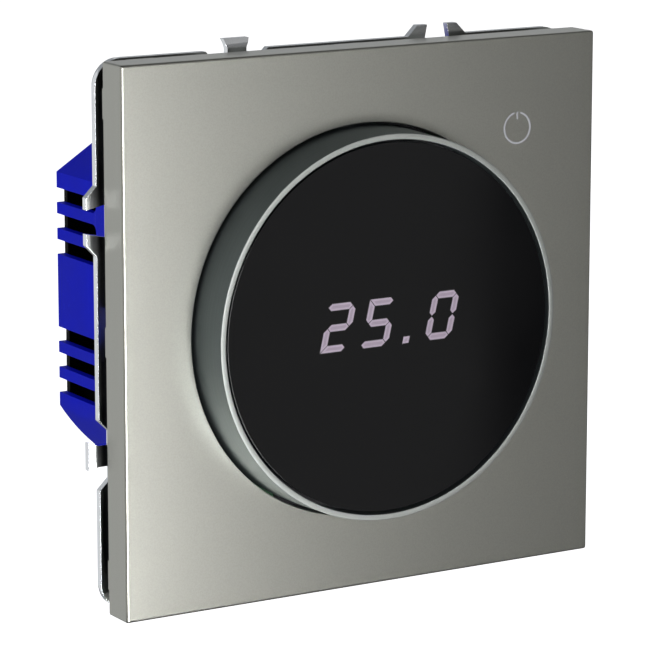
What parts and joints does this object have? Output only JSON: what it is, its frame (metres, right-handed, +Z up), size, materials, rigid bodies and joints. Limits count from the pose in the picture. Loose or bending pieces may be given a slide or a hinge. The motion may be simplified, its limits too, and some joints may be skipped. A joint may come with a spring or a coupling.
{
  "type": "wall thermostat",
  "caption": "Flush wall thermostat: square plate, round turning dial with digital display, touch key, steel strap and vented rear housing for a round box.",
  "frame": {"origin": "centre of the box screws, on the dial's axis, at the rear face of the mounting strap", "axes": "+Y into the wall, +Z up, +X to the right of someone facing the device"},
  "size_m": [0.0728, 0.0447, 0.0728],
  "materials": {
    "plate_lacquer": "satin metallic lacquer",
    "dial_aluminium": "bead-blasted and anodised",
    "window_acrylic": "polished smoked acrylic",
    "digit_light": "diffusing light guide, lit",
    "symbol_light": "diffusing light guide, unlit",
    "chassis_plastic": "moulded, fine texture",
    "housing_plastic": "moulded, satin",
    "strap_steel": "zinc-plated sheet",
    "screw_steel": "zinc-plated",
    "contact_brass": "tinned brass",
    "circuit_board": "solder mask",
    "header_plastic": "moulded",
    "white_plastic": "moulded",
    "slip_plastic": "low-friction washer",
    "terminal_plastic": "moulded",
    "component_black": "moulded",
    "shield_steel": "tinned",
    "ferrite": "sintered",
    "winding_tape": "tape",
    "capacitor_sleeve": "shrunk sleeve",
    "film_box": "moulded",
    "disc_coating": "dipped coating"
  },
  "bodies": {
    "base": {"mounting_strap": "strap_steel", "strap_screws": "screw_steel", "touch_board": "circuit_board", "satellite_pins": "contact_brass", "touch_electrode": "screw_steel", "power_led": "white_plastic", "sensor_board": "circuit_board", "room_sensor": "component_black", "encoder_body": "component_black", "glide_washer": "slip_plastic", "dial_hub": "chassis_plastic", "hub_screws": "screw_steel", "display_window": "window_acrylic", "display_segments": "digit_light", "display_light_box": "white_plastic", "display_lights": "white_plastic", "display_board": "circuit_board", "display_header": "header_plastic", "display_header_pins": "contact_brass", "front_chassis": "chassis_plastic", "peg_grip_rings": "screw_steel", "rear_housing": "housing_plastic", "housing_screws": "screw_steel", "control_board": "circuit_board", "control_board_screws": "screw_steel", "radio_module": "shield_steel", "link_header": "header_plastic", "link_socket": "header_plastic", "link_pins": "contact_brass", "power_board": "circuit_board", "power_board_screws": "screw_steel", "power_relay": "component_black", "transformer_core": "ferrite", "transformer_winding": "winding_tape", "bulk_capacitors": "capacitor_sleeve", "film_capacitor": "film_box", "surge_varistor": "disc_coating", "board_fuse": "component_black", "bridge_rectifier": "component_black", "top_terminal_block": "terminal_plastic", "bottom_terminal_block": "terminal_plastic", "terminal_bars": "contact_brass"},
    "dial": {"dial_ring": "dial_aluminium", "dial_carrier": "chassis_plastic"},
    "encoder_rotor": {"encoder_pinion": "white_plastic", "encoder_shaft": "screw_steel"},
    "plate": {"front_plate": "plate_lacquer", "symbol_light_guide": "symbol_light"},
    "screw_1": {"terminal_screw_1": "screw_steel"},
    "cage_1": {"terminal_cage_1": "screw_steel"},
    "screw_2": {"terminal_screw_2": "screw_steel"},
    "cage_2": {"terminal_cage_2": "screw_steel"},
    "screw_3": {"terminal_screw_3": "screw_steel"},
    "cage_3": {"terminal_cage_3": "screw_steel"},
    "screw_4": {"terminal_screw_4": "screw_steel"},
    "cage_4": {"terminal_cage_4": "screw_steel"},
    "screw_5": {"terminal_screw_5": "screw_steel"},
    "cage_5": {"terminal_cage_5": "screw_steel"},
    "screw_6": {"terminal_screw_6": "screw_steel"},
    "cage_6": {"terminal_cage_6": "screw_steel"}
  },
  "joints": [
    {"name": "dial_turn", "type": "hinge", "parent": "base", "child": "dial", "pos_m": [0, 0, 0], "axis": [0, 1, 0], "continuous": true},
    {"name": "encoder_turn", "type": "hinge", "parent": "base", "child": "encoder_rotor", "pos_m": [0.009, 0, -0.01559], "axis": [0, 1, 0], "continuous": true},
    {"name": "plate_pull_off", "type": "slide", "parent": "base", "child": "plate", "axis": [0, -1, 0], "range_m": [0, 0.02]},
    {"name": "screw_1_turn", "type": "hinge", "parent": "base", "child": "screw_1", "pos_m": [-0.007, 0.023, 0.0245], "axis": [0, 0, -1], "range_deg": [0, 1585]},
    {"name": "cage_1_clamp", "type": "slide", "parent": "base", "child": "cage_1", "axis": [0, 0, 1], "range_m": [0, 0.0022]},
    {"name": "screw_2_turn", "type": "hinge", "parent": "base", "child": "screw_2", "pos_m": [0, 0.023, 0.0245], "axis": [0, 0, -1], "range_deg": [0, 1585]},
    {"name": "cage_2_clamp", "type": "slide", "parent": "base", "child": "cage_2", "axis": [0, 0, 1], "range_m": [0, 0.0022]},
    {"name": "screw_3_turn", "type": "hinge", "parent": "base", "child": "screw_3", "pos_m": [0.007, 0.023, 0.0245], "axis": [0, 0, -1], "range_deg": [0, 1585]},
    {"name": "cage_3_clamp", "type": "slide", "parent": "base", "child": "cage_3", "axis": [0, 0, 1], "range_m": [0, 0.0022]},
    {"name": "screw_4_turn", "type": "hinge", "parent": "base", "child": "screw_4", "pos_m": [-0.007, 0.023, -0.026], "axis": [0, 0, 1], "range_deg": [0, 1585]},
    {"name": "cage_4_clamp", "type": "slide", "parent": "base", "child": "cage_4", "axis": [0, 0, -1], "range_m": [0, 0.0022]},
    {"name": "screw_5_turn", "type": "hinge", "parent": "base", "child": "screw_5", "pos_m": [0, 0.023, -0.026], "axis": [0, 0, 1], "range_deg": [0, 1585]},
    {"name": "cage_5_clamp", "type": "slide", "parent": "base", "child": "cage_5", "axis": [0, 0, -1], "range_m": [0, 0.0022]},
    {"name": "screw_6_turn", "type": "hinge", "parent": "base", "child": "screw_6", "pos_m": [0.007, 0.023, -0.026], "axis": [0, 0, 1], "range_deg": [0, 1585]},
    {"name": "cage_6_clamp", "type": "slide", "parent": "base", "child": "cage_6", "axis": [0, 0, -1], "range_m": [0, 0.0022]}
  ],
  "couplings": [
    {"joint": "encoder_turn", "follows": "dial_turn", "ratio": 5.5},
    {"joint": "screw_1_turn", "follows": "cage_1_clamp", "rad_per_m": 12566},
    {"joint": "screw_2_turn", "follows": "cage_2_clamp", "rad_per_m": 12566},
    {"joint": "screw_3_turn", "follows": "cage_3_clamp", "rad_per_m": 12566},
    {"joint": "screw_4_turn", "follows": "cage_4_clamp", "rad_per_m": 12566},
    {"joint": "screw_5_turn", "follows": "cage_5_clamp", "rad_per_m": 12566},
    {"joint": "screw_6_turn", "follows": "cage_6_clamp", "rad_per_m": 12566}
  ]
}
